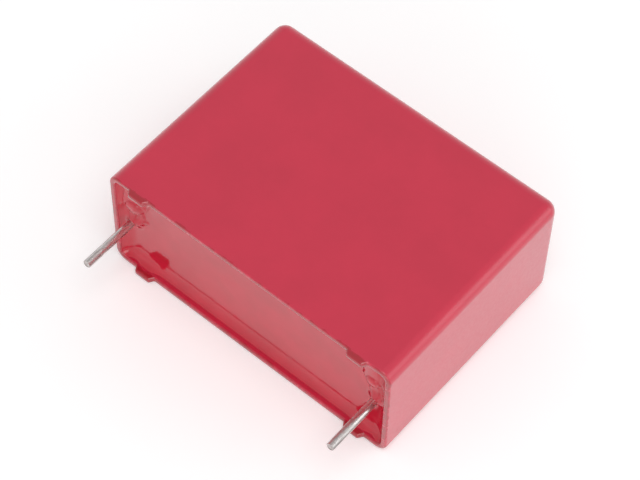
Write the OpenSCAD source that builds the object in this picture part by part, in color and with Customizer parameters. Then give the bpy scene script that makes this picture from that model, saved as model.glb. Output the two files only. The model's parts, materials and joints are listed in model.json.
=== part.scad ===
// Radial box film capacitor, lying on one large side with its leads towards -Y.
// Every piece is drawn standing on its leads: x along the length, y across the
// thickness, z from the open rim (0) to the closed end. lay_down() then turns it
// into the part's frame, with the middle of the resting side at the origin.

/* [Case] */
// Thickness of the case, from one large side to the other
case_t = 12.5; // [9:0.1:16]
// Height of the case from its rim to its closed end, without the feet
case_h = 23; // [20:0.1:32]
// Distance from a lead's middle to the end of the case
end_margin = 1.85; // [1.7:0.05:4]
// Radius of the outer edges and of the closed end
edge_r = 1.2; // [0.8:0.1:1.6]
// Wall thickness at the open rim
rim_wall = 0.6; // [0.4:0.05:0.8]
// Wall thickness at the closed end, thicker by the draft of the cavity
base_wall = 0.8; // [0.8:0.05:1]
// Thickness of the closed end
floor_wall = 0.9; // [0.6:0.05:1.4]
// Radius of the cavity's edge round its floor
floor_r = 0.8; // [0.4:0.1:1.2]

/* [Stand-off feet] */
// Height of a foot above the rim
foot_h = 0.5; // [0.3:0.1:1.2]
// Length of a foot along the rim, at its tip
foot_l = 1.6; // [1.2:0.1:4]
// How much longer a foot is at each side of its root
foot_flank = 0.3; // [0.05:0.05:0.5]
// Distance from a foot's middle to the end of the case
foot_inset = 3.5; // [3:0.1:6]

/* [Floor ribs] */
// Height of the floor ribs under the element, where they cradle it
rib_h = 0.5; // [0.3:0.05:1]
// Thickness of a rib
rib_t = 1; // [0.6:0.1:2]
// Distance from a rib's middle to the end of the winding
rib_inset = 4.9; // [2:0.1:6]
// Length of a rib across the case
rib_l = 5.4; // [3:0.2:8]
// Depth of the seat that a rib has for the element
rib_seat = 0.06; // [0.03:0.01:0.12]

/* [Potting resin] */
// Depth below the rim of the resin's lowest stretch, along the middle of the mouth
resin_drop = 1.1; // [0.95:0.05:2]
// How far the resin sags between the large sides
resin_sag = 0.25; // [0.1:0.05:0.4]
// Radius of the meniscus along the walls
wall_meniscus = 0.35; // [0.2:0.05:0.45]
// Radius by which the sag rises towards the ends of the case
end_rise = 1.5; // [0.8:0.1:2.5]
// Radius of the meniscus round a lead
lead_meniscus = 0.5; // [0.2:0.05:0.7]
// Resin between its level and the wound element
resin_cover = 2.6; // [1.5:0.1:4]
// Resin between the element and each large side of the case
element_gap = 0.35; // [0.2:0.05:1]

/* [Wound element] */
// Thickness of the protective film round the winding
wrap_t = 0.15; // [0.05:0.01:0.4]
// Thickness of the sprayed metal at each end
spray_t = 0.6; // [0.4:0.05:1]
// Depth of the flattened winding mandrel's slit
slit_depth = 7; // [3:0.5:9]
// Thickness of that slit
slit_t = 0.3; // [0.1:0.05:0.6]

/* [Leads] */
// Distance between the two leads
lead_pitch = 27.5; // [22.5:2.5:37.5]
// Diameter of a lead beyond the feet
lead_d = 0.8; // [0.6:0.05:1]
// Diameter of the thinly tinned wire at the weld
wire_d = 0.77; // [0.5:0.01:0.79]
// Length of a lead beyond the feet
lead_out = 4.8; // [3:0.1:25]
// Bevel left by the cut at a lead's tip
tip_bevel = 0.06; // [0.02:0.01:0.12]
// Depth to which a lead sinks into the sprayed metal
weld_sink = 0.15; // [0.05:0.01:0.25]
// Length of the stretch that is pressed flat for the weld
weld_l = 6; // [3:0.1:8]
// Thickness of the flat stretch
weld_t = 0.5; // [0.35:0.01:0.6]
// Width of the flat stretch
weld_w = 1.1; // [0.9:0.05:1.4]
// Distance from the element's lower edge to the start of the flat stretch
weld_start = 5.5; // [4:0.1:8]

/* [Hidden] */

// margin by which cutting shapes pass through a face
through = 1;
// lap of a meniscus over the surface it wets, which gives it a contact angle
wetting_lap = 0.02;
// thickness of the slices that a hull joins
slice = 0.01;
// smallest radius of the mouth's corners
least_mouth_r = 0.3;
// length over which a lead's wire is pressed from round to flat
press_l = 0.8;

// case and cavity
case_l = lead_pitch + 2 * end_margin;
mouth_l = case_l - 2 * rim_wall;
mouth_t = case_t - 2 * rim_wall;
floor_l = case_l - 2 * base_wall;
floor_t = case_t - 2 * base_wall;
floor_z = case_h - floor_wall;
mouth_r = max(least_mouth_r, edge_r - rim_wall);

// wound element, seated on the ribs and centred between the large sides
wrap_outer_t = floor_t - 2 * element_gap;
winding_t = wrap_outer_t - 2 * wrap_t;
element_top = floor_z - rib_h;
element_bottom = resin_drop + resin_cover;
wrap_outer_w = element_top - element_bottom;
winding_w = wrap_outer_w - 2 * wrap_t;
element_z = (element_top + element_bottom) / 2;
spray_face = lead_pitch / 2 - lead_d / 2 + weld_sink;
winding_l = 2 * (spray_face - spray_t);
rib_x = winding_l / 2 - rib_inset;
rib_root = floor_wall / 2;

// leads
lead_r = lead_d / 2;
lead_tip = -foot_h - lead_out;
flat_z = element_bottom + weld_start;
flat_x = spray_face - weld_sink + weld_t / 2;

// surface of the resin: level where the menisci start, and radius of the sag
brim_z = resin_drop - resin_sag;
sag_half = mouth_t / 2 - wall_meniscus;
sag_r = (sag_half * sag_half + resin_sag * resin_sag) / (2 * resin_sag);

// ---- shared shapes ----

// Turns a standing piece into the part's frame.
module lay_down() {
    translate([0, -case_h / 2, case_t / 2]) rotate([-90, 0, 0]) children();
}

// A flat rectangle with round corners.
module rounded_plate(l, t, r) {
    square([l, t - 2 * r], center = true);
    square([l - 2 * r, t], center = true);
    for (sx = [-1, 1], sy = [-1, 1])
        translate([sx * (l / 2 - r), sy * (t / 2 - r)]) circle(r, $fn = 48);
}

// A block from z = 0 to z = h, with round corners and a round edge at its top.
module rounded_block(l, t, h, corner_r, top_r) {
    linear_extrude(h - top_r) rounded_plate(l, t, corner_r);
    translate([0, 0, h - top_r]) {
        linear_extrude(top_r) square([l - 2 * top_r, t - 2 * top_r], center = true);
        for (s = [-1, 1]) {
            translate([0, s * (t / 2 - top_r), 0]) rotate([0, 90, 0])
                cylinder(h = l - 2 * top_r, r = top_r, center = true, $fn = 48);
            translate([s * (l / 2 - top_r), 0, 0]) rotate([90, 0, 0])
                cylinder(h = t - 2 * top_r, r = top_r, center = true, $fn = 48);
        }
        for (sx = [-1, 1], sy = [-1, 1])
            translate([sx * (l / 2 - top_r), sy * (t / 2 - top_r), 0])
                sphere(top_r, $fn = 48);
    }
}

// A bar along x with the flat oval section of a pressed winding.
module oval_bar(l, t, w) {
    rotate([90, 0, 90]) linear_extrude(l, center = true) {
        square([t, w - t], center = true);
        for (s = [-1, 1]) translate([0, s * (w - t) / 2]) circle(d = t, $fn = 96);
    }
}

// ---- case ----

// The drafted cavity, from its mouth at the rim to its rounded floor.
module cavity() {
    hull() {
        translate([0, 0, -slice]) linear_extrude(slice)
            rounded_plate(mouth_l, mouth_t, mouth_r);
        for (sx = [-1, 1], sy = [-1, 1])
            translate([sx * (floor_l / 2 - floor_r), sy * (floor_t / 2 - floor_r),
                       floor_z - floor_r])
                sphere(floor_r, $fn = 24);
    }
}

// One stand-off foot on the rim of a large side, with slanted flanks.
module foot() {
    root_l = foot_l + 2 * foot_flank;
    rotate([90, 0, 0]) linear_extrude(rim_wall)
        polygon([[-root_l / 2, 0], [-foot_l / 2, -foot_h],
                 [foot_l / 2, -foot_h], [root_l / 2, 0]]);
}

// The four feet, two on each large side.
module feet() {
    for (sx = [-1, 1], sy = [0, 1])
        mirror([0, sy, 0])
            translate([sx * (case_l / 2 - foot_inset), case_t / 2, 0]) foot();
}

// The two ribs on the cavity's floor, before they get the element's seat.
module rib_blocks() {
    for (s = [-1, 1])
        translate([s * rib_x, 0, element_top - rib_seat])
            linear_extrude(rib_seat + rib_h + rib_root)
                square([rib_t, rib_l], center = true);
}

// The ribs, with a seat cut to the wound element's own round edge.
module floor_ribs() {
    difference() {
        rib_blocks();
        element_envelope();
    }
}

module case() {
    color("crimson") lay_down() {
        difference() {
            rounded_block(case_l, case_t, case_h, edge_r, edge_r);
            cavity();
        }
        feet();
        floor_ribs();
    }
}

// ---- wound element ----

// The space that the wrapped winding takes.
module element_envelope() {
    translate([0, 0, element_z]) oval_bar(winding_l, wrap_outer_t, wrap_outer_w);
}

module film_winding() {
    color("lightsteelblue") lay_down() translate([0, 0, element_z])
        difference() {
            oval_bar(winding_l, winding_t, winding_w);
            oval_bar(winding_l + through, slit_t, slit_depth);
        }
}

module outer_wrap() {
    color("wheat") lay_down() difference() {
        element_envelope();
        translate([0, 0, element_z])
            oval_bar(winding_l + through, winding_t, winding_w);
    }
}

// The sprayed metal on one end of the winding, side -1 or +1.
module spray_layer(side) {
    translate([side * (winding_l + spray_t) / 2, 0, element_z])
        oval_bar(spray_t, winding_t, winding_w);
}

module end_contact(side) {
    color("silver") lay_down() difference() {
        spray_layer(side);
        lead_shape(side);
    }
}

// ---- leads ----

// The outline of the flat stretch: a bar with half-round edges.
module flat_outline() {
    square([weld_t, weld_w - weld_t], center = true);
    for (s = [-1, 1]) translate([0, s * (weld_w - weld_t) / 2]) circle(d = weld_t, $fn = 32);
}

// One lead: round from its cut tip to the weld, then pressed flat. Its tinning
// thins evenly from the seating plane to the weld.
module lead_shape(side) {
    mirror([side < 0 ? 1 : 0, 0, 0]) {
        translate([lead_pitch / 2, 0, 0]) rotate_extrude($fn = 48)
            polygon([[0, lead_tip], [lead_r - tip_bevel, lead_tip],
                     [lead_r, lead_tip + tip_bevel], [lead_r, -foot_h],
                     [wire_d / 2, flat_z - press_l], [0, flat_z - press_l]]);
        hull() {
            translate([lead_pitch / 2, 0, flat_z - press_l])
                linear_extrude(slice) circle(d = wire_d, $fn = 32);
            translate([flat_x, 0, flat_z]) linear_extrude(slice) flat_outline();
        }
        translate([flat_x, 0, flat_z]) linear_extrude(weld_l) flat_outline();
    }
}

module lead(side) {
    color("gainsboro") lay_down() lead_shape(side);
}

// ---- potting ----

// The shallow trough that the resin sags to, open towards the rim.
module sag_trough() {
    trough_l = mouth_l + 2 * wetting_lap;
    end_z = resin_drop - end_rise;
    intersection() {
        translate([0, 0, resin_drop - sag_r]) rotate([0, 90, 0])
            cylinder(h = trough_l, r = sag_r, center = true, $fn = 480);
        rotate([90, 0, 0]) linear_extrude(2 * sag_half, center = true) {
            translate([0, end_z - through]) square([trough_l, 2 * through], center = true);
            translate([0, end_z + end_rise / 2])
                square([trough_l - 2 * end_rise, end_rise], center = true);
            for (s = [-1, 1])
                translate([s * (trough_l / 2 - end_rise), end_z]) circle(end_rise, $fn = 96);
        }
    }
}

// The open space between the rim and the resin, with the menisci along the walls.
module head_space() {
    translate([0, 0, -through])
        rounded_block(mouth_l + 2 * wetting_lap, mouth_t + 2 * wetting_lap,
                      brim_z + through, mouth_r, wall_meniscus);
    sag_trough();
}

// The resin that climbs a lead.
module lead_collar(side) {
    collar_r = lead_r + lead_meniscus - wetting_lap;
    translate([side * lead_pitch / 2, 0, resin_drop]) rotate_extrude($fn = 48)
        difference() {
            translate([0, -lead_meniscus]) square([collar_r, lead_meniscus + through / 2]);
            translate([collar_r, -lead_meniscus]) circle(lead_meniscus, $fn = 48);
        }
}

module potting_resin() {
    color("firebrick") lay_down() difference() {
        cavity();
        difference() {
            head_space();
            for (side = [-1, 1]) lead_collar(side);
        }
        rib_blocks();
        element_envelope();
        for (side = [-1, 1]) {
            spray_layer(side);
            lead_shape(side);
        }
    }
}

case();
potting_resin();
film_winding();
outer_wrap();
end_contact(-1);  // end_contact_left
end_contact(1);  // end_contact_right
lead(-1);  // lead_left
lead(1);  // lead_right
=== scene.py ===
"""A radial box film capacitor lying on its side: a red moulded case with four
stand-off feet, filled with cast resin that two tinned leads come out of.

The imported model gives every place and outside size. This script models the
pieces that show on the finished object, dresses every piece with its finish,
and sets up the floor, the light and the camera.
"""

import json
import logging
import math
from collections.abc import Callable
from dataclasses import dataclass, field
from enum import Enum

import bmesh
import bpy
from mathutils import Matrix, Vector


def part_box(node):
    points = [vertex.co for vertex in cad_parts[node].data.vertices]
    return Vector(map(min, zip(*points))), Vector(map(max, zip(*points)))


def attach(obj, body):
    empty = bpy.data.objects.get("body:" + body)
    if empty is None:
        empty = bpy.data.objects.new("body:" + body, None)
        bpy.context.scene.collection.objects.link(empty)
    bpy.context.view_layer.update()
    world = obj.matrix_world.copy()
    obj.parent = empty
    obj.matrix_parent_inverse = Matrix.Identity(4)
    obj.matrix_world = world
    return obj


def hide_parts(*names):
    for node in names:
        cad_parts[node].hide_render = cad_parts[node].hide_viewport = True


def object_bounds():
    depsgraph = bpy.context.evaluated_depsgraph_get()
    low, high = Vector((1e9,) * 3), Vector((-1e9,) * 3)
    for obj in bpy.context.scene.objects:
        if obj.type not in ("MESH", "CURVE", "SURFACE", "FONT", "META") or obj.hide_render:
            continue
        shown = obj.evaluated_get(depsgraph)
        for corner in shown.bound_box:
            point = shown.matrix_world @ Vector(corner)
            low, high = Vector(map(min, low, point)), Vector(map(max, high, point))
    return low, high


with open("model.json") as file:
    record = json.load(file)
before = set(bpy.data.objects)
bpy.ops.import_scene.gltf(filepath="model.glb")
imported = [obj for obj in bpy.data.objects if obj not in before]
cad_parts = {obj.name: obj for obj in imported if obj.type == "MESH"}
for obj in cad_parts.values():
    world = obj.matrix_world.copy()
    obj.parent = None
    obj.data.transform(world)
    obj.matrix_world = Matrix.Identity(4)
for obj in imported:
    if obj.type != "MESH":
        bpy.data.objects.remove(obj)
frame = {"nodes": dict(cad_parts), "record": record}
cad_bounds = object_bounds()

log = logging.getLogger("capacitor")

MM = 0.001
Colour = tuple[float, float, float]
Place = tuple[float, float, float]


class Falloff(Enum):
    """How a pull dies away with the distance from what is held."""

    SHARP = "SHARP"
    SMOOTH = "SMOOTH"
    ROUND = "SPHERE"
    EVEN = "LINEAR"


class Side(Enum):
    """The two ends of the case, each with its lead and its sprayed contact."""

    LEFT = -1
    RIGHT = 1

    @property
    def word(self) -> str:
        """The side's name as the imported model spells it."""
        return self.name.lower()


# ---- modelling tools ----


@dataclass
class Workpiece:
    """One mesh object on the bench, in edit mode until it is finished.

    Args:
        obj: The mesh object that is modelled.
    """

    obj: bpy.types.Object

    @classmethod
    def block(cls, name: str, low: Vector, high: Vector) -> "Workpiece":
        """Starts a piece as a block.

        Args:
            name: Name of the new object.
            low: Lowest corner.
            high: Highest corner.

        Returns:
            The piece, in edit mode.
        """
        bpy.ops.object.select_all(action="DESELECT")
        bpy.ops.mesh.primitive_cube_add(size=1, location=(low + high) / 2, scale=high - low)
        return cls._open(name)

    @classmethod
    def disc(cls, name: str, centre: Vector, radius: float, sides: int) -> "Workpiece":
        """Starts a piece as a filled disc that faces along Y.

        Args:
            name: Name of the new object.
            centre: Middle of the disc.
            radius: Its radius.
            sides: Number of corners.

        Returns:
            The piece, in edit mode.
        """
        bpy.ops.object.select_all(action="DESELECT")
        bpy.ops.mesh.primitive_circle_add(
            vertices=sides, radius=radius, fill_type="NGON", location=centre,
            rotation=(math.pi / 2, 0, 0))
        return cls._open(name)

    @classmethod
    def _open(cls, name: str) -> "Workpiece":
        """Names the active primitive, applies its place and opens it.

        Args:
            name: Name of the new object.

        Returns:
            The piece, in edit mode.
        """
        obj = bpy.context.active_object
        obj.name = obj.data.name = name
        bpy.ops.object.transform_apply(location=True, rotation=True, scale=True)
        bpy.ops.object.mode_set(mode="EDIT")
        bpy.ops.mesh.select_mode(type="FACE")
        return cls(obj)

    def add_block(self, low: Vector, high: Vector) -> None:
        """Adds a separate block to the open mesh and leaves it selected.

        Args:
            low: Lowest corner.
            high: Highest corner.
        """
        bpy.ops.mesh.select_all(action="DESELECT")
        bpy.ops.mesh.primitive_cube_add(size=1, location=(low + high) / 2, scale=high - low)

    def pick_faces(self, test: Callable[[Vector, Vector], bool]) -> int:
        """Selects the faces that pass a test, and nothing else.

        Args:
            test: Takes a face's middle and its normal.

        Returns:
            The number of faces selected.
        """
        mesh = self._cleared("FACE")
        hits = [f for f in mesh.faces if test(f.calc_center_median(), f.normal)]
        for face in hits:
            face.select_set(True)
        return self._shown(mesh, len(hits))

    def pick_edges(self, test: Callable[[Vector, Vector], bool], sharp: float = 0.0) -> int:
        """Selects the edges that pass a test, and nothing else.

        Args:
            test: Takes an edge's two ends.
            sharp: Smallest angle in radians between the edge's two faces.

        Returns:
            The number of edges selected.
        """
        mesh = self._cleared("EDGE")
        hits = [e for e in mesh.edges
                if test(e.verts[0].co, e.verts[1].co) and e.calc_face_angle(0.0) >= sharp]
        for edge in hits:
            edge.select_set(True)
        return self._shown(mesh, len(hits))

    def pick_points(self, test: Callable[[Vector], bool]) -> int:
        """Selects the points that pass a test, and nothing else.

        Args:
            test: Takes a point's place.

        Returns:
            The number of points selected.
        """
        mesh = self._cleared("VERT")
        hits = [v for v in mesh.verts if test(v.co)]
        for point in hits:
            point.select_set(True)
        return self._shown(mesh, len(hits))

    def _cleared(self, mode: str) -> bmesh.types.BMesh:
        """Sets the select mode and deselects everything.

        Args:
            mode: VERT, EDGE or FACE.

        Returns:
            The open mesh.
        """
        bpy.ops.mesh.select_mode(type=mode)
        bpy.ops.mesh.select_all(action="DESELECT")
        return bmesh.from_edit_mesh(self.obj.data)

    def _shown(self, mesh: bmesh.types.BMesh, count: int) -> int:
        """Passes a selection made in code on to the edit tools.

        Args:
            mesh: The open mesh.
            count: What was selected.

        Returns:
            The same count.
        """
        mesh.select_flush_mode()
        bmesh.update_edit_mesh(self.obj.data, loop_triangles=False, destructive=False)
        return count

    def round_off(self, width: float, segments: int) -> None:
        """Bevels the selected edges.

        Args:
            width: Radius of the rounding.
            segments: Facets across it.
        """
        bpy.ops.mesh.bevel(offset=width, segments=segments, affect="EDGES", clamp_overlap=True)

    def cut(self, at: Vector, across: Vector) -> None:
        """Cuts the selected faces along a plane.

        Args:
            at: A point of the plane.
            across: The plane's normal.
        """
        bpy.ops.mesh.bisect(plane_co=at, plane_no=across)

    def extrude(self, shift: Vector) -> None:
        """Extrudes the selected faces.

        Args:
            shift: How far and which way.
        """
        bpy.ops.mesh.extrude_region_move(TRANSFORM_OT_translate={"value": shift})

    def scale(self, factors: Vector, about: Vector) -> None:
        """Scales what is selected.

        Args:
            factors: One factor per axis.
            about: The point that stays.
        """
        bpy.ops.transform.resize(value=factors, center_override=about)

    def move(self, shift: Vector) -> None:
        """Moves what is selected by a shift."""
        bpy.ops.transform.translate(value=shift)

    def pull(self, shift: Vector, reach: float, falloff: Falloff) -> None:
        """Moves what is selected and draws its surroundings along.

        Args:
            shift: How far and which way the selected points go.
            reach: Distance at which the pull has died away.
            falloff: How it dies away.
        """
        bpy.ops.transform.translate(
            value=shift, use_proportional_edit=True, proportional_size=reach,
            proportional_edit_falloff=falloff.value, use_proportional_connected=False)

    def finish(self, smooth_angle: float = math.radians(40), flat_sides: bool = False
               ) -> bpy.types.Object:
        """Merges doubled points and shades the mesh smooth.

        Args:
            smooth_angle: Edges sharper than this stay sharp.
            flat_sides: Whether the large faces stay flat and only the roundings bend.

        Returns:
            The finished object.
        """
        bpy.ops.mesh.select_all(action="SELECT")
        bpy.ops.mesh.remove_doubles(threshold=1e-7)
        bpy.ops.object.mode_set(mode="OBJECT")
        bpy.ops.object.select_all(action="DESELECT")
        self.obj.select_set(True)
        bpy.context.view_layer.objects.active = self.obj
        bpy.ops.object.shade_smooth_by_angle(angle=smooth_angle)
        if flat_sides:
            weighted = self.obj.modifiers.new("flat_sides", "WEIGHTED_NORMAL")
            weighted.keep_sharp = True
            bpy.ops.object.modifier_apply(modifier=weighted.name)
        return self.obj


# ---- finishes ----


class NodeBoard:
    """The node tree of one material, with a shader wired to its output.

    Args:
        name: Name of the material.
    """

    def __init__(self, name: str) -> None:
        """Makes the material and clears its tree, as the class describes."""
        self.material = bpy.data.materials.new(name)
        self.material.use_nodes = True
        self.tree = self.material.node_tree
        self.tree.nodes.clear()
        self.output = self.add("ShaderNodeOutputMaterial")
        self.shader = self.add("ShaderNodeBsdfPrincipled")
        self.wire(self.shader.outputs["BSDF"], self.output.inputs["Surface"])

    def add(self, kind: str, **settings: object) -> bpy.types.Node:
        """Adds a node.

        Args:
            kind: The node's type.
            settings: Properties of the node, by name.

        Returns:
            The node.
        """
        node = self.tree.nodes.new(kind)
        for key, value in settings.items():
            setattr(node, key, value)
        return node

    def wire(self, source: bpy.types.NodeSocket, target: bpy.types.NodeSocket) -> None:
        """Links an output socket to an input socket."""
        self.tree.links.new(source, target)

    def set_shader(self, **values: object) -> None:
        """Sets sockets of the shader, by name, with _ for a space."""
        for key, value in values.items():
            self.shader.inputs[key.replace("_", " ")].default_value = value

    def place(self, stretch: Place = (1, 1, 1), middle: Place = (0, 0, 0)
              ) -> bpy.types.NodeSocket:
        """Gives the object's own coordinates in millimetres.

        Args:
            stretch: Factor per axis on top of the change to millimetres.
            middle: The point, in millimetres, that becomes the origin.

        Returns:
            The vector socket.
        """
        coordinates = self.add("ShaderNodeTexCoord")
        mapping = self.add("ShaderNodeMapping")
        mapping.inputs["Scale"].default_value = [s / MM for s in stretch]
        mapping.inputs["Location"].default_value = [-m * s for m, s in zip(middle, stretch)]
        self.wire(coordinates.outputs["Object"], mapping.inputs["Vector"])
        return mapping.outputs["Vector"]

    def noise(self, where: bpy.types.NodeSocket, scale: float, detail: float = 3.0,
              rough: float = 0.5, warp: float = 0.0) -> bpy.types.NodeSocket:
        """Adds a noise pattern.

        Args:
            where: Coordinates in millimetres.
            scale: Cells per millimetre.
            detail: Octaves of finer detail.
            rough: Strength of the finer octaves.
            warp: How far the pattern is bent by itself.

        Returns:
            The pattern's value, about 0 to 1.
        """
        node = self.add("ShaderNodeTexNoise")
        node.inputs["Scale"].default_value = scale
        node.inputs["Detail"].default_value = detail
        node.inputs["Roughness"].default_value = rough
        node.inputs["Distortion"].default_value = warp
        self.wire(where, node.inputs["Vector"])
        return node.outputs["Fac"]

    def spread(self, value: bpy.types.NodeSocket, start: float, end: float, low: float,
               high: float) -> bpy.types.NodeSocket:
        """Maps a value from one range to another and clamps it.

        Args:
            value: What is mapped.
            start: The value that gives low.
            end: The value that gives high.
            low: The result at start.
            high: The result at end.

        Returns:
            The mapped value.
        """
        node = self.add("ShaderNodeMapRange", clamp=True)
        for key, number in zip(("From Min", "From Max", "To Min", "To Max"),
                               (start, end, low, high)):
            node.inputs[key].default_value = number
        self.wire(value, node.inputs["Value"])
        return node.outputs["Result"]

    def along(self, where: bpy.types.NodeSocket, axis: str) -> bpy.types.NodeSocket:
        """Gives one coordinate of a place, X, Y or Z."""
        node = self.add("ShaderNodeSeparateXYZ")
        self.wire(where, node.inputs["Vector"])
        return node.outputs[axis]

    def combine(self, kind: str, first: bpy.types.NodeSocket,
                second: bpy.types.NodeSocket | float) -> bpy.types.NodeSocket:
        """Does a sum on two values.

        Args:
            kind: The operation, such as ADD or MULTIPLY.
            first: One value.
            second: The other, a socket or a number.

        Returns:
            The result.
        """
        node = self.add("ShaderNodeMath", operation=kind)
        self.wire(first, node.inputs[0])
        if isinstance(second, bpy.types.NodeSocket):
            self.wire(second, node.inputs[1])
        else:
            node.inputs[1].default_value = second
        return node.outputs["Value"]

    def blend(self, factor: bpy.types.NodeSocket, first: Colour | bpy.types.NodeSocket,
              second: Colour | bpy.types.NodeSocket) -> bpy.types.NodeSocket:
        """Mixes two colours.

        Args:
            factor: 0 gives the first colour and 1 the second.
            first: A colour or a colour socket.
            second: A colour or a colour socket.

        Returns:
            The mixed colour.
        """
        node = self.add("ShaderNodeMix", data_type="RGBA")
        self.wire(factor, node.inputs["Factor"])
        for socket, colour in ((node.inputs[6], first), (node.inputs[7], second)):
            if isinstance(colour, bpy.types.NodeSocket):
                self.wire(colour, socket)
            else:
                socket.default_value = (*colour, 1.0)
        return node.outputs[2]

    def relief(self, height: bpy.types.NodeSocket, depth: float, strength: float = 1.0) -> None:
        """Gives the shader a fine relief.

        Args:
            height: Pattern of the relief, about 0 to 1.
            depth: Depth of the relief in millimetres.
            strength: How much of it shows.
        """
        node = self.add("ShaderNodeBump")
        node.inputs["Strength"].default_value = strength
        node.inputs["Distance"].default_value = depth * MM
        self.wire(height, node.inputs["Height"])
        self.wire(node.outputs["Normal"], self.shader.inputs["Normal"])


@dataclass(frozen=True)
class CasePlastic:
    """Moulded polyester: even red with a soft gloss, faint draw marks along the way
    the case left its mould, and a wetter shine and darker colour along the rim and the
    feet: partly resin that has crept on the rim, partly painted shade along its edges.

    Args:
        colour: The plastic's colour.
        deep: The same colour where the surface is a little denser.
        wetted: Its darker colour along the rim and the feet, partly under a film of resin and
            partly painted shade.
        rim: Y of the rim in millimetres.
    """

    colour: Colour = (0.610, 0.0095, 0.048)
    deep: Colour = (0.575, 0.0080, 0.044)
    wetted: Colour = (0.400, 0.0045, 0.018)
    rim: float = -11.5

    def material(self) -> bpy.types.Material:
        """Builds the material."""
        board = NodeBoard("case_plastic")
        place = board.place()
        board.set_shader(IOR=1.5, Coat_Weight=1.0, Coat_Roughness=0.25, Coat_IOR=1.5)
        clouds = board.noise(place, 0.22, detail=3, rough=0.6)
        tone = board.blend(board.spread(clouds, 0.35, 0.65, 0, 1), self.colour, self.deep)
        # Darker band with a ragged edge along the rim and the feet: partly resin crept on the rim,
        # partly painted shade along the rim's edges.
        creep = board.combine("ADD", board.along(place, "Y"),
                              board.spread(board.noise(place, 1.1, 2), 0.3, 0.7, -0.12, 0.12))
        wet_and_shaded_band = board.spread(creep, self.rim - 0.03, self.rim + 0.14, 1, 0)
        board.wire(board.blend(wet_and_shaded_band, tone, self.wetted), board.shader.inputs["Base Color"])
        skin = board.spread(board.noise(place, 3.5, 4, 0.6), 0.3, 0.7, 0.30, 0.38)
        dry = board.spread(wet_and_shaded_band, 0, 1, 1, 0)
        board.wire(board.combine("ADD", board.combine("MULTIPLY", skin, dry),
                                 board.spread(wet_and_shaded_band, 0, 1, 0, 0.12)),
                   board.shader.inputs["Roughness"])
        marks = board.noise(board.place(stretch=(1, 0.06, 1)), 1.6, 3, 0.55)
        grain = board.noise(place, 7.0, 4, 0.65)
        height = board.combine("ADD", board.combine("MULTIPLY", marks, 0.6),
                               board.combine("MULTIPLY", grain, 0.25))
        board.relief(height, depth=0.012, strength=0.35)
        return board.material


@dataclass(frozen=True)
class CastResin:
    """Cast epoxy of the case's red: deeper, with a wet gloss and slow waves.

    Args:
        colour: The resin's colour.
        deep: Its colour where it is thicker.
    """

    colour: Colour = (0.580, 0.0065, 0.030)
    deep: Colour = (0.520, 0.0055, 0.025)

    def material(self) -> bpy.types.Material:
        """Builds the material."""
        board = NodeBoard("potting_resin")
        place = board.place()
        board.set_shader(IOR=1.55, Coat_Weight=0.35, Coat_Roughness=0.05, Coat_IOR=1.5)
        clouds = board.noise(place, 0.35, 2, 0.5, warp=0.4)
        tone = board.blend(board.spread(clouds, 0.35, 0.65, 0, 1), self.colour, self.deep)
        board.wire(tone, board.shader.inputs["Base Color"])
        skin = board.noise(place, 2.2, 3, 0.6)
        board.wire(board.spread(skin, 0.3, 0.7, 0.06, 0.13), board.shader.inputs["Roughness"])
        waves = board.noise(place, 0.55, 2, 0.45, warp=0.3)
        specks = board.noise(place, 6.0, 2, 0.5)
        height = board.combine("ADD", waves, board.combine("MULTIPLY", specks, 0.02))
        board.relief(height, depth=0.05, strength=0.35)
        return board.material


@dataclass(frozen=True)
class TinnedWire:
    """Copper wire under mottled solder, dull at its sheared end.

    Args:
        bright: Colour of smooth tin.
        dull: Colour of oxidised solder.
        sheared: Colour of the cut end.
        tip: Y of the cut end in millimetres.
    """

    bright: Colour = (0.82, 0.79, 0.77)
    dull: Colour = (0.50, 0.46, 0.45)
    sheared: Colour = (0.30, 0.25, 0.22)
    tip: float = -16.8

    def material(self) -> bpy.types.Material:
        """Builds the material."""
        board = NodeBoard("tinned_wire")
        place = board.place()
        board.set_shader(Metallic=1.0, IOR=2.0)
        run = board.place(stretch=(1, 0.35, 1))
        streaks = board.noise(run, 3.2, 4, 0.65, warp=0.5)
        to_tip = board.spread(board.along(place, "Y"), self.tip + 3.6, self.tip + 0.2, 0, 1)
        crust = board.combine("MULTIPLY", board.noise(place, 8.0, 4, 0.7), to_tip)
        worn = board.spread(board.combine("ADD", streaks, board.combine("MULTIPLY", crust, 0.35)),
                            0.42, 0.78, 0, 1)
        tone = board.blend(worn, self.bright, self.dull)
        end = board.spread(board.along(place, "Y"), self.tip + 0.035, self.tip + 0.015, 0, 1)
        board.wire(board.blend(end, tone, self.sheared), board.shader.inputs["Base Color"])
        board.wire(board.spread(worn, 0, 1, 0.20, 0.42), board.shader.inputs["Roughness"])
        height = board.combine("ADD", board.combine("MULTIPLY", streaks, 0.3), crust)
        board.relief(height, depth=0.03, strength=0.6)
        return board.material


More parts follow.
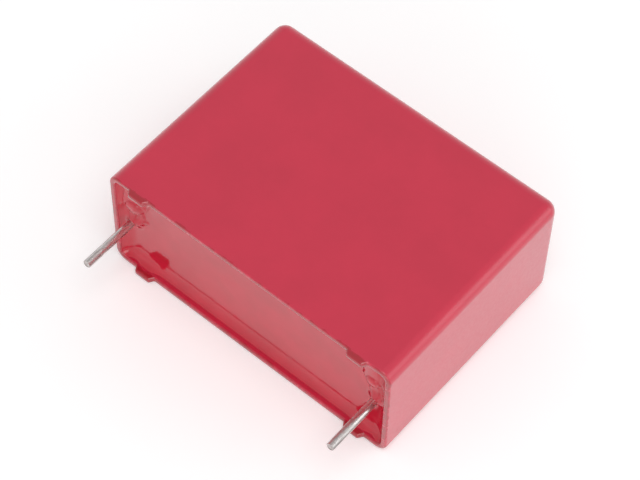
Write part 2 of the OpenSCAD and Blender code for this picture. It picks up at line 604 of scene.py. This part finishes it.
@dataclass(frozen=True)
class MetallizedFilm:
    """Wound film with a metal skin: silvery, with the fine lines of its layers.

    Args:
        silver: Colour of the metal skin.
        shade: Colour between two layers.
        middle: The winding's middle in millimetres.
    """

    silver: Colour = (0.66, 0.69, 0.73)
    shade: Colour = (0.47, 0.50, 0.55)
    middle: Place = (0.0, 0.0, 6.25)

    def material(self) -> bpy.types.Material:
        """Builds the material."""
        board = NodeBoard("metallized_film")
        place = board.place(middle=self.middle)
        board.set_shader(Metallic=0.7, IOR=1.5, Coat_Weight=0.4, Coat_Roughness=0.15)
        rings = board.add("ShaderNodeTexWave", wave_type="RINGS", rings_direction="X")
        rings.inputs["Scale"].default_value = 2.6
        rings.inputs["Distortion"].default_value = 1.2
        rings.inputs["Detail"].default_value = 3.0
        board.wire(place, rings.inputs["Vector"])
        patchy = board.noise(place, 0.4, 3)
        layers = board.combine("ADD", board.combine("MULTIPLY", rings.outputs["Fac"], 0.6),
                               board.combine("MULTIPLY", patchy, 0.4))
        board.wire(board.blend(layers, self.silver, self.shade),
                   board.shader.inputs["Base Color"])
        board.wire(board.spread(layers, 0.2, 0.8, 0.22, 0.40), board.shader.inputs["Roughness"])
        board.relief(layers, depth=0.02, strength=0.4)
        return board.material


@dataclass(frozen=True)
class WrapFilm:
    """Clear plastic film wound round the element, faintly yellow and slightly creased.

    Args:
        colour: The film's colour.
        fold: Its colour in a crease.
    """

    colour: Colour = (0.80, 0.72, 0.50)
    fold: Colour = (0.68, 0.58, 0.36)

    def material(self) -> bpy.types.Material:
        """Builds the material."""
        board = NodeBoard("wrap_film")
        board.set_shader(IOR=1.49, Coat_Weight=0.5, Coat_Roughness=0.1)
        creases = board.noise(board.place(stretch=(0.25, 1, 1)), 0.9, 3, 0.55, warp=0.6)
        board.wire(board.blend(board.spread(creases, 0.4, 0.7, 0, 1), self.colour, self.fold),
                   board.shader.inputs["Base Color"])
        board.wire(board.spread(creases, 0.3, 0.7, 0.18, 0.34), board.shader.inputs["Roughness"])
        board.relief(creases, depth=0.03, strength=0.4)
        return board.material


@dataclass(frozen=True)
class SprayedMetal:
    """Zinc sprayed on the ends of the winding: matt grey grains.

    Args:
        colour: Colour of the grains.
        pits: Colour between them.
    """

    colour: Colour = (0.56, 0.57, 0.58)
    pits: Colour = (0.28, 0.28, 0.29)

    def material(self) -> bpy.types.Material:
        """Builds the material."""
        board = NodeBoard("sprayed_metal")
        place = board.place()
        board.set_shader(Metallic=0.85, IOR=1.5)
        grains = board.noise(place, 9.0, 5, 0.75)
        board.wire(board.blend(board.spread(grains, 0.4, 0.6, 0, 1), self.pits, self.colour),
                   board.shader.inputs["Base Color"])
        board.wire(board.spread(grains, 0.3, 0.7, 0.75, 0.5), board.shader.inputs["Roughness"])
        board.relief(grains, depth=0.05, strength=0.9)
        return board.material


def dress(obj: bpy.types.Object, material: bpy.types.Material) -> None:
    """Gives an object one material in its only slot.

    Args:
        obj: The object.
        material: What it gets.
    """
    if not obj.material_slots:
        obj.data.materials.append(material)
    for held in obj.material_slots:
        held.material = material


# ---- sub-assemblies ----


@dataclass
class CaseShell:
    """The moulded case: drafted cavity, rounded outside, fine rim edges and four feet.

    Args:
        edge: Radius of the outer edges and of the closed end.
        rim_wall: Wall thickness at the rim.
        base_wall: Wall thickness at the closed end.
        floor_wall: Thickness of the closed end.
        floor_edge: Radius of the cavity's edge round its floor.
        foot_height: Height of a foot above the rim.
        foot_length: Length of a foot at its tip.
        foot_flank: How much longer a foot is at each side of its root.
        foot_inset: Distance from a foot's middle to the end of the case.
        lip: Radius of the fine rounding of the rim and the feet.
        rib_height: Height of a floor rib.
        rib_thick: Thickness of a floor rib.
        rib_at: Distance from a rib's middle to the middle of the case.
        finish: What the case is moulded from.
    """

    edge: float = 1.2 * MM
    rim_wall: float = 0.6 * MM
    base_wall: float = 0.8 * MM
    floor_wall: float = 0.9 * MM
    floor_edge: float = 0.8 * MM
    foot_height: float = 0.5 * MM
    foot_length: float = 1.6 * MM
    foot_flank: float = 0.3 * MM
    foot_inset: float = 3.5 * MM
    lip: float = 0.18 * MM
    rib_height: float = 0.5 * MM
    rib_thick: float = 1.0 * MM
    rib_at: float = 8.0 * MM
    finish: CasePlastic = field(default_factory=CasePlastic)

    def __post_init__(self) -> None:
        """Takes the case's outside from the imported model, without its feet."""
        low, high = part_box("case")
        self.low = low + Vector((0, self.foot_height, 0))
        self.high = high

    def build(self) -> bpy.types.Object:
        """Models and dresses the case.

        Returns:
            The case, riding on its body.
        """
        piece = Workpiece.block("moulded_case", self.low, self.high)
        self._round_outside(piece)
        self._hollow_out(piece)
        self._raise_ribs(piece)
        self._raise_feet(piece)
        self._soften_rim(piece)
        case = piece.finish(flat_sides=True)
        dress(case, self.finish.material())
        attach(case, "root")
        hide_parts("case")
        return case

    def _round_outside(self, piece: Workpiece) -> None:
        """Rounds the four edges along Y and those of the closed end."""
        rim = self.low.y + self.edge
        piece.pick_edges(lambda a, b: not (a.y < rim and b.y < rim))
        piece.round_off(self.edge, 10)

    def _hollow_out(self, piece: Workpiece) -> None:
        """Insets the rim and sinks the drafted cavity with its rounded floor."""
        piece.pick_faces(lambda middle, normal: normal.y < -0.9)
        bpy.ops.mesh.inset(thickness=self.rim_wall, use_even_offset=True)
        depth = self.high.y - self.low.y - self.floor_wall
        piece.extrude(Vector((0, depth, 0)))
        size = self.high - self.low
        taper = [(s - 2 * self.base_wall) / (s - 2 * self.rim_wall) for s in (size.x, size.z)]
        middle = (self.low + self.high) / 2
        piece.scale(Vector((taper[0], 1, taper[1])), middle)
        floor = self.low.y + depth
        piece.pick_edges(lambda a, b: min(a.y, b.y) > floor - 1e-6 and max(a.y, b.y) < floor + 1e-6)
        piece.round_off(self.floor_edge, 4)

    def _raise_ribs(self, piece: Workpiece) -> None:
        """Raises the two ribs that the wound element stands on."""
        floor = self.high.y - self.floor_wall
        middle = (self.low + self.high) / 2
        half_z = (self.high.z - self.low.z - 2 * self.base_wall) / 4
        for at, across in [
            *((Vector((s * (self.rib_at + e * self.rib_thick / 2), 0, 0)), Vector((1, 0, 0)))
              for s in (-1, 1) for e in (-1, 1)),
            *((Vector((0, 0, middle.z + s * half_z)), Vector((0, 0, 1))) for s in (-1, 1)),
        ]:
            piece.pick_faces(lambda m, n: n.y < -0.9 and m.y > floor - 1e-5)
            piece.cut(at, across)
        piece.pick_faces(lambda m, n: n.y < -0.9 and m.y > floor - 1e-5
                         and abs(abs(m.x) - self.rib_at) < self.rib_thick / 2
                         and abs(m.z - middle.z) < half_z)
        piece.extrude(Vector((0, -self.rib_height, 0)))

    def _raise_feet(self, piece: Workpiece) -> None:
        """Raises the four stand-off feet from the rims of the large sides."""
        rim = self.low.y
        middle = (self.low + self.high) / 2
        foot_x = self.high.x - self.foot_inset
        root = self.foot_length / 2 + self.foot_flank
        inner_z = self.high.z - middle.z - self.rim_wall

        def is_rim(m: Vector, n: Vector) -> bool:
            """True for a face of the rim of a large side."""
            return n.y < -0.9 and abs(m.y - rim) < 1e-5 and abs(m.z - middle.z) > inner_z

        for side in (-1, 1):
            for end in (-1, 1):
                piece.pick_faces(is_rim)
                piece.cut(Vector((side * foot_x + end * root, 0, 0)), Vector((1, 0, 0)))
        piece.pick_faces(lambda m, n: is_rim(m, n) and abs(abs(m.x) - foot_x) < root)
        piece.extrude(Vector((0, -self.foot_height, 0)))
        for side in (-1, 1):
            piece.pick_faces(lambda m, n: n.y < -0.9 and m.y < rim - self.foot_height / 2
                             and side * m.x > 0)
            piece.scale(Vector((self.foot_length / 2 / root, 1, 1)),
                        Vector((side * foot_x, 0, 0)))

    def _soften_rim(self, piece: Workpiece) -> None:
        """Rounds the sharp edges of the rim and the feet."""
        rim = self.low.y + 1e-5
        piece.pick_edges(lambda a, b: a.y < rim and b.y < rim, sharp=math.radians(35))
        piece.round_off(self.lip, 4)


@dataclass(frozen=True)
class Swell:
    """A raised stretch of the resin's surface.

    Args:
        start: X and Z of its one end.
        end: X and Z of its other end.
        rise: How far it stands up.
        reach: Distance at which it has died away.
        falloff: How it dies away.
    """

    start: tuple[float, float]
    end: tuple[float, float]
    rise: float
    reach: float
    falloff: Falloff = Falloff.SMOOTH

    def beside(self, p: Vector) -> float:
        """Gives a point's distance from the crest, looking along Y.

        Args:
            p: The point.

        Returns:
            The distance.
        """
        start, end = Vector(self.start), Vector(self.end)
        run, at = end - start, Vector((p.x, p.z)) - start
        share = min(1.0, max(0.0, at.dot(run) / run.length_squared))
        return (at - run * share).length


@dataclass
class PottingFill:
    """The cast resin: a block that fills the cavity round the wound element, with a
    surface that sags between the walls and climbs the walls, the leads and the feet.

    Args:
        gap: Hair's breadth that keeps the resin off the case's faces.
        level: Y of the surface's lowest stretch.
        corner: Radius of the mouth's corners.
        rim_wall: Wall thickness of the case at the rim.
        base_wall: Wall thickness of the case at its closed end.
        floor_wall: Thickness of the case's closed end.
        sag: How far the surface sags towards the middle, and its reach.
        wall_climb: How far the resin climbs the walls, and its reach.
        wall_line: The steep last stretch of that climb, and its reach.
        end_climb: How much further it climbs the two ends, and its reach.
        lead_climb: How far the resin climbs a lead, and its reach.
        swells: Where it is drawn up between a lead and the walls.
        finish: What is cast.
    """

    gap: float = 0.004 * MM
    level: float = -10.42 * MM
    corner: float = 0.6 * MM
    rim_wall: float = 0.6 * MM
    base_wall: float = 0.8 * MM
    floor_wall: float = 0.9 * MM
    sag: tuple[float, float] = (0.16 * MM, 5.2 * MM)
    wall_climb: tuple[float, float] = (0.28 * MM, 1.5 * MM)
    wall_line: tuple[float, float] = (0.12 * MM, 0.35 * MM)
    end_climb: tuple[float, float] = (0.36 * MM, 1.3 * MM)
    lead_climb: tuple[float, float] = (0.40 * MM, 0.95 * MM)
    swells: tuple[Swell, ...] = (
        Swell((12.95 * MM, 11.9 * MM), (13.1 * MM, 8.9 * MM), 0.34 * MM, 1.0 * MM, Falloff.ROUND),
        Swell((13.3 * MM, 8.6 * MM), (13.55 * MM, 7.0 * MM), 0.22 * MM, 0.7 * MM, Falloff.ROUND),
        Swell((-13.3 * MM, 11.9 * MM), (-13.6 * MM, 8.8 * MM), 0.36 * MM, 1.1 * MM, Falloff.ROUND),
        Swell((-13.5 * MM, 8.6 * MM), (-13.4 * MM, 7.0 * MM), 0.26 * MM, 0.8 * MM, Falloff.ROUND),
        Swell((-13.0 * MM, 6.3 * MM), (-12.4 * MM, 6.9 * MM), 0.12 * MM, 0.3 * MM),
        Swell((12.1 * MM, 0.6 * MM), (12.9 * MM, 0.6 * MM), 0.30 * MM, 1.3 * MM, Falloff.SHARP),
        Swell((-12.9 * MM, 0.6 * MM), (-11.6 * MM, 0.6 * MM), 0.30 * MM, 1.3 * MM, Falloff.SHARP),
    )
    finish: CastResin = field(default_factory=CastResin)

    def __post_init__(self) -> None:
        """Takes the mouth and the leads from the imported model."""
        low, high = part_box("case")
        inset = Vector((self.rim_wall + self.gap, 0, self.rim_wall + self.gap))
        self.low = low + inset
        self.high = high - inset
        self.low.y = self.level
        self.high.y = high.y - self.floor_wall - self.gap
        self.lead_at = {side: self._lead_middle(side) for side in Side}

    def _lead_middle(self, side: Side) -> Vector:
        """Gives the middle of a lead's round stretch.

        Args:
            side: Which lead.

        Returns:
            The point where its axis meets the resin's level.
        """
        for mount in frame["record"]["mounts"]:
            if mount["name"] == f"lead_{side.word}":
                at = Vector(mount["pos_m"])
                return Vector((at.x, self.level, at.z))
        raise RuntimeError(f"the record has no mount for the {side.word} lead")

    def build(self) -> bpy.types.Object:
        """Models and dresses the resin.

        Returns:
            The resin, riding on its body.
        """
        piece = Workpiece.block("cast_resin", self.low, self.high)
        self._fit_cavity(piece)
        self._lay_grid(piece)
        self._shape_surface(piece)
        self._leave_room(piece)
        resin = piece.finish(math.radians(60))
        dress(resin, self.finish.material())
        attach(resin, "root")
        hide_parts("potting_resin")
        return resin

    def _on_top(self, m: Vector, n: Vector) -> bool:
        """True for a face of the open surface, given its middle and normal."""
        return n.y < -0.3 and m.y < self.level + 1e-5

    def _fit_cavity(self, piece: Workpiece) -> None:
        """Gives the block the cavity's corners and draft."""
        piece.pick_edges(lambda a, b: abs(a.y - b.y) > MM)
        piece.round_off(self.corner, 6)
        piece.pick_faces(lambda m, n: n.y > 0.9)
        size = self.high - self.low
        slope = 2 * (self.base_wall - self.rim_wall)
        piece.scale(Vector(((size.x - slope) / size.x, 1, (size.z - slope) / size.z)),
                    (self.low + self.high) / 2)

    def _lay_grid(self, piece: Workpiece) -> None:
        """Cuts the open surface into a grid, finer towards the walls and the leads."""
        for axis, fine, coarse in (("x", 0.15 * MM, 0.45 * MM), ("z", 0.15 * MM, 0.2 * MM)):
            low, high = getattr(self.low, axis), getattr(self.high, axis)
            across = Vector((axis == "x", 0, axis == "z"))
            at = low
            while True:
                near = min(at - low, high - at)
                at += fine if near < 3.2 * MM else coarse
                if at > high - fine / 2:
                    break
                piece.pick_faces(self._on_top)
                piece.cut(across * at, across)
        for middle in self.lead_at.values():
            piece.pick_faces(lambda m, n: self._on_top(m, n) and abs(m.x - middle.x) < 2.2 * MM
                             and m.z > middle.z - 1.3 * MM)
            bpy.ops.mesh.subdivide(number_cuts=1)

    def _at_wall(self, p: Vector) -> bool:
        """Tells whether a point lies on the outline of the open surface.

        Args:
            p: The point.

        Returns:
            True where the resin meets the case.
        """
        edge = 0.02 * MM
        dx = self.high.x - abs(p.x)
        dz = min(p.z - self.low.z, self.high.z - p.z)
        if p.y > 0 or max(dx, dz) < self.corner:
            reach = math.hypot(self.corner - dx, self.corner - dz)
            return p.y < 0 and reach > self.corner - edge
        return min(dx, dz) < edge

    def _shape_surface(self, piece: Workpiece) -> None:
        """Pulls the flat surface up at the walls and round the leads."""
        for climb, reach in (self.sag, self.wall_climb, self.wall_line):
            piece.pick_points(self._at_wall)
            piece.pull(Vector((0, -climb, 0)), reach, Falloff.SHARP)
        climb, reach = self.end_climb
        piece.pick_points(lambda p: self._at_wall(p) and abs(p.x) > self.high.x - self.corner)
        piece.pull(Vector((0, -climb, 0)), reach, Falloff.SHARP)
        for swell in self.swells:
            piece.pick_points(lambda p: p.y < 0 and swell.beside(p) < 0.08 * MM)
            piece.pull(Vector((0, -swell.rise, 0)), swell.reach, swell.falloff)
        climb, reach = self.lead_climb
        for middle in self.lead_at.values():
            piece.pick_points(lambda p: p.y < 0 and
                              math.hypot(p.x - middle.x, p.z - middle.z) < 0.42 * MM)
            piece.pull(Vector((0, -climb, 0)), reach, Falloff.SHARP)

    def _leave_room(self, piece: Workpiece) -> None:
        """Leaves the closed room that the wound element takes."""
        boxes = [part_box(n) for n in ("outer_wrap", "end_contact_left", "end_contact_right")]
        low = Vector([min(b[0][i] for b in boxes) for i in range(3)])
        high = Vector([max(b[1][i] for b in boxes) for i in range(3)])
        piece.add_block(low, high)
        bpy.ops.mesh.flip_normals()
        half = (high.z - low.z) / 2

        def is_long_edge(a: Vector, b: Vector) -> bool:
            """True for an edge of the new block that runs along X."""
            return (abs(a.x - b.x) > high.x
                    and all(min(abs(p.y - low.y), abs(p.y - high.y)) < 1e-6 for p in (a, b))
                    and all(min(abs(p.z - low.z), abs(p.z - high.z)) < 1e-6 for p in (a, b)))

        piece.pick_edges(is_long_edge)
        piece.round_off(half * 0.98, 12)


@dataclass
class TinnedLead:
    """One lead: sheared at its tip, round through the resin, pressed flat at its weld.

    Args:
        side: Which lead.
        radius: Radius beyond the feet.
        wire_radius: Radius of the thinly tinned wire just before the flat stretch.
        bevel: Burr that the shears leave round the cut end.
        shear: Angle of the cut end.
        press: Length over which the wire turns flat.
        weld_length: Length of the flat stretch.
        weld_thick: Its thickness.
        weld_wide: Its width.
        step: Distance between two rings of the visible stretch.
        solder: Depth of the solder's unevenness.
        finish: What the lead is coated with.
    """

    side: Side
    radius: float = 0.4 * MM
    wire_radius: float = 0.385 * MM
    bevel: float = 0.06 * MM
    shear: float = math.radians(7)
    press: float = 0.8 * MM
    weld_length: float = 6.0 * MM
    weld_thick: float = 0.5 * MM
    weld_wide: float = 1.1 * MM
    step: float = 0.12 * MM
    solder: float = 0.028 * MM
    finish: TinnedWire = field(default_factory=TinnedWire)

    def __post_init__(self) -> None:
        """Takes the lead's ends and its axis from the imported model."""
        self.node = f"lead_{self.side.word}"
        low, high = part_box(self.node)
        self.tip, self.end = low.y, high.y
        outer = high.x if self.side is Side.RIGHT else low.x
        self.axis = Vector((outer - self.side.value * self.radius, 0, (low.z + high.z) / 2))
        self.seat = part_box("case")[0].y

    def build(self) -> bpy.types.Object:
        """Models and dresses the lead.

        Returns:
            The lead, riding on its body.
        """
        start = self.axis + Vector((0, self.tip, 0))
        piece = Workpiece.disc(f"tinned_{self.node}", start, self.radius - self.bevel, 36)
        self._cut_end(piece, start)
        self._draw_round(piece)
        self._press_flat(piece)
        bpy.ops.mesh.select_all(action="SELECT")
        bpy.ops.mesh.normals_make_consistent(inside=False)
        lead = piece.finish(math.radians(50))
        self._lay_solder(lead)
        dress(lead, self.finish.material())
        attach(lead, "root")
        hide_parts(self.node)
        return lead

    def _ring(self, piece: Workpiece, to: float, middle: Vector, factors: Vector) -> None:
        """Extrudes the open end to a new ring.

        Args:
            piece: The lead on the bench.
            to: Distance along Y to the new ring.
            middle: A point on the ring's axis.
            factors: Scale of the new ring against the last.
        """
        piece.extrude(Vector((0, to, 0)))
        piece.scale(factors, middle)

    def _cut_end(self, piece: Workpiece, start: Vector) -> None:
        """Bevels the cut end and tilts it as shears leave it."""
        bpy.ops.mesh.select_all(action="SELECT")
        grow = self.radius / (self.radius - self.bevel)
        self._ring(piece, self.bevel, self.axis, Vector((grow, 1, grow)))
        tilt = (self.radius - self.bevel) * math.sin(self.shear)
        piece.pick_points(lambda p: p.y < self.tip + self.bevel / 2)
        bpy.ops.transform.rotate(value=self.shear, orient_axis="X", center_override=start)
        piece.move(Vector((0, tilt, 0)))
        piece.pick_faces(lambda m, n: m.y > self.tip + self.bevel * 0.9
                         and abs(n.y) > 0.9)

    def _draw_round(self, piece: Workpiece) -> None:
        """Draws the round stretch from the cut end to where the wire turns flat."""
        at = self.tip + self.bevel
        level = self.end - self.weld_length - self.press
        steps = round((self.seat - at) / self.step)
        for _ in range(steps):
            self._ring(piece, (self.seat - at) / steps, self.axis, Vector((1, 1, 1)))
        steps = round((level - self.seat) / (3 * self.step))
        shrink = (self.wire_radius / self.radius) ** (1 / steps)
        for _ in range(steps):
            self._ring(piece, (level - self.seat) / steps, self.axis, Vector((shrink, 1, shrink)))

    def _press_flat(self, piece: Workpiece) -> None:
        """Presses the inner end to the flat bar that is welded to the sprayed metal."""
        low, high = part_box(f"end_contact_{self.side.word}")
        face = high.x if self.side is Side.RIGHT else low.x
        shift = face + self.side.value * (self.weld_thick / 2 - 0.15 * MM) - self.axis.x
        factors = Vector((self.weld_thick / 2 / self.wire_radius, 1,
                          self.weld_wide / 2 / self.wire_radius))
        self._ring(piece, self.press, self.axis, factors)
        piece.move(Vector((shift, 0, 0)))
        piece.extrude(Vector((0, self.weld_length, 0)))

    def _lay_solder(self, lead: bpy.types.Object) -> None:
        """Makes the coat of solder slightly uneven, most near the tip."""
        near_tip = lead.vertex_groups.new(name="solder")
        for point in lead.data.vertices:
            past = (self.seat - point.co.y) / (self.seat - self.tip)
            near_tip.add([point.index], min(1.0, max(0.0, 0.15 + 0.85 * past)), "REPLACE")
        pattern = bpy.data.textures.new("solder_lumps", "CLOUDS")
        pattern.noise_scale = 0.35 * MM
        pattern.noise_depth = 2
        lumps = lead.modifiers.new("solder", "DISPLACE")
        lumps.texture = pattern
        lumps.texture_coords = "LOCAL"
        lumps.strength = self.solder
        lumps.mid_level = 0.75
        lumps.vertex_group = "solder"
        bpy.ops.object.modifier_apply(modifier=lumps.name)


@dataclass
class WoundElement:
    """The wound element inside the resin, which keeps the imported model's solids.

    Args:
        finishes: The finish and the slot of each of its solids.
    """

    finishes: dict[str, MetallizedFilm | WrapFilm | SprayedMetal] = field(
        default_factory=lambda: {
            "film_winding": MetallizedFilm(),
            "outer_wrap": WrapFilm(),
            "end_contact_left": SprayedMetal(),
            "end_contact_right": SprayedMetal(),
        })

    def build(self) -> list[bpy.types.Object]:
        """Dresses the element's solids.

        Returns:
            The dressed solids.
        """
        solids = []
        for node, finish in self.finishes.items():
            solid = frame["nodes"][node]
            dress(solid, finish.material())
            solids.append(solid)
        return solids


# ---- studio ----


@dataclass(frozen=True)
class Softbox:
    """A square lamp that faces the object.

    Args:
        name: Name of the lamp.
        azimuth: Degrees round the object, 0 in front of the leads and 90 at the right end.
        elevation: Degrees above the floor.
        distance: Distance from the object.
        size: Length of the lamp's side.
        power: Its power in watts.
    """

    name: str
    azimuth: float
    elevation: float
    distance: float
    size: float
    power: float

    def hang(self, target: Vector) -> bpy.types.Object:
        """Makes the lamp.

        Args:
            target: What it faces.

        Returns:
            The lamp.
        """
        data = bpy.data.lights.new(self.name, "AREA")
        data.shape = "SQUARE"
        data.size = self.size
        data.energy = self.power
        lamp = bpy.data.objects.new(self.name, data)
        bpy.context.scene.collection.objects.link(lamp)
        back = direction(self.azimuth, self.elevation)
        lamp.matrix_world = (Matrix.Translation(target + back * self.distance)
                             @ back.to_track_quat("Z", "Y").to_matrix().to_4x4())
        return lamp


def direction(azimuth: float, elevation: float) -> Vector:
    """Gives the direction from the object to a place round it.

    Args:
        azimuth: Degrees round the object, 0 in front of the leads.
        elevation: Degrees above the floor.

    Returns:
        The direction, of length 1.
    """
    a, e = math.radians(azimuth), math.radians(elevation)
    return Vector((math.sin(a) * math.cos(e), -math.cos(a) * math.cos(e), math.sin(e)))


@dataclass
class Studio:
    """A pale floor in a light tent, and the camera.

    Args:
        floor_radius: Radius of the round floor.
        floor_tone: How much light the floor gives back.
        floor_lift: What the floor gives to the camera on top.
        floor_gleam: What it gives to reflections on top.
        zenith: Light of the tent overhead.
        horizon: Light of the tent near the floor.
        softboxes: The lamps.
        azimuth: Degrees of the camera round the object.
        elevation: Degrees of the camera above the floor.
        roll: Degrees that the camera is turned about its own axis.
        distance: Distance of the camera from the point that it faces.
        aim: The point that it faces, from the middle of the object.
        lens: Focal length in millimetres.
    """

    floor_radius: float = 0.8
    floor_tone: float = 0.90
    floor_lift: float = 0.22
    floor_gleam: float = 0.12
    zenith: float = 0.45
    horizon: float = 0.80
    softboxes: tuple[Softbox, ...] = (
        Softbox("key_softbox", 60, 72, 0.50, 0.30, 0.85),
        Softbox("fill_softbox", 35, 12, 0.45, 0.30, 0.50),
        Softbox("side_softbox", 125, 20, 0.45, 0.25, 0.20),
    )
    azimuth: float = 39.0
    elevation: float = 56.32
    roll: float = 1.488
    distance: float = 201.3 * MM
    aim: Place = (0.06 * MM, 0.80 * MM, 0.39 * MM)
    lens: float = 130.14

    def build(self) -> None:
        """Sets up the floor, the light and the camera."""
        middle = (cad_bounds[0] + cad_bounds[1]) / 2
        self._lay_floor()
        self._light_tent()
        for softbox in self.softboxes:
            softbox.hang(middle)
        self._place_camera(middle)

    def _lay_floor(self) -> bpy.types.Object:
        """Lays the round floor just under the object.

        Returns:
            The floor.
        """
        bpy.ops.object.select_all(action="DESELECT")
        bpy.ops.mesh.primitive_circle_add(
            vertices=128, radius=self.floor_radius, fill_type="NGON",
            location=(0, 0, cad_bounds[0].z - 0.01 * MM))
        floor = bpy.context.active_object
        floor.name = "studio_floor"
        bpy.ops.object.transform_apply(location=True)
        board = NodeBoard("pale_floor")
        board.tree.nodes.remove(board.shader)
        paint = board.add("ShaderNodeBsdfDiffuse")
        paint.inputs["Color"].default_value = (self.floor_tone,) * 3 + (1.0,)
        rays = board.add("ShaderNodeLightPath")
        seen = board.combine("MULTIPLY", rays.outputs["Is Camera Ray"], self.floor_lift)
        mirrored = board.combine("MAXIMUM", rays.outputs["Is Glossy Ray"],
                                 rays.outputs["Is Transmission Ray"])
        mirrored = board.combine("MULTIPLY", mirrored, self.floor_gleam)
        glow = board.add("ShaderNodeEmission")
        board.wire(board.combine("ADD", seen, mirrored), glow.inputs["Strength"])
        both = board.add("ShaderNodeAddShader")
        board.wire(paint.outputs["BSDF"], both.inputs[0])
        board.wire(glow.outputs["Emission"], both.inputs[1])
        board.wire(both.outputs["Shader"], board.output.inputs["Surface"])
        dress(floor, board.material)
        return floor

    def _light_tent(self) -> None:
        """Surrounds the scene with a pale tent, white to the camera itself."""
        world = bpy.data.worlds.new("light_tent")
        bpy.context.scene.world = world
        world.use_nodes = True
        tree = world.node_tree
        tree.nodes.clear()
        output = tree.nodes.new("ShaderNodeOutputWorld")
        coordinates = tree.nodes.new("ShaderNodeTexCoord")
        split = tree.nodes.new("ShaderNodeSeparateXYZ")
        rise = tree.nodes.new("ShaderNodeMapRange")
        rise.inputs["To Min"].default_value = self.horizon
        rise.inputs["To Max"].default_value = self.zenith
        rays = tree.nodes.new("ShaderNodeLightPath")
        tent = tree.nodes.new("ShaderNodeBackground")
        white = tree.nodes.new("ShaderNodeBackground")
        white.inputs["Color"].default_value = (1, 1, 1, 1)
        tent.inputs["Color"].default_value = (1, 1, 1, 1)
        mix = tree.nodes.new("ShaderNodeMixShader")
        for source, target in (
            (coordinates.outputs["Generated"], split.inputs["Vector"]),
            (split.outputs["Z"], rise.inputs["Value"]),
            (rise.outputs["Result"], tent.inputs["Strength"]),
            (rays.outputs["Is Camera Ray"], mix.inputs["Fac"]),
            (tent.outputs["Background"], mix.inputs[1]),
            (white.outputs["Background"], mix.inputs[2]),
            (mix.outputs["Shader"], output.inputs["Surface"]),
        ):
            tree.links.new(source, target)

    def _place_camera(self, middle: Vector) -> None:
        """Places the camera.

        Args:
            middle: Middle of the object.
        """
        data = bpy.data.cameras.new("camera")
        data.sensor_width = 36
        data.lens = self.lens
        data.clip_start, data.clip_end = 0.01, 10
        camera = bpy.data.objects.new("camera", data)
        bpy.context.scene.collection.objects.link(camera)
        back = direction(self.azimuth, self.elevation)
        turn = (back.to_track_quat("Z", "Y").to_matrix()
                @ Matrix.Rotation(math.radians(self.roll), 3, "Z"))
        camera.matrix_world = (Matrix.Translation(middle + Vector(self.aim) + back * self.distance)
                               @ turn.to_4x4())
        bpy.context.scene.camera = camera
        bpy.context.scene.view_settings.view_transform = "Standard"


def main() -> None:
    """Builds the sub-assemblies and the studio in order, and reports each piece."""
    logging.basicConfig(level=logging.INFO, format="%(message)s")
    Studio().build()
    makers = [CaseShell(), PottingFill(), TinnedLead(Side.LEFT), TinnedLead(Side.RIGHT),
              WoundElement()]
    for maker in makers:
        made = maker.build()
        for obj in made if isinstance(made, list) else [made]:
            log.info("%s: %d faces", obj.name, len(obj.data.polygons))


if __name__ == "__main__":
    main()
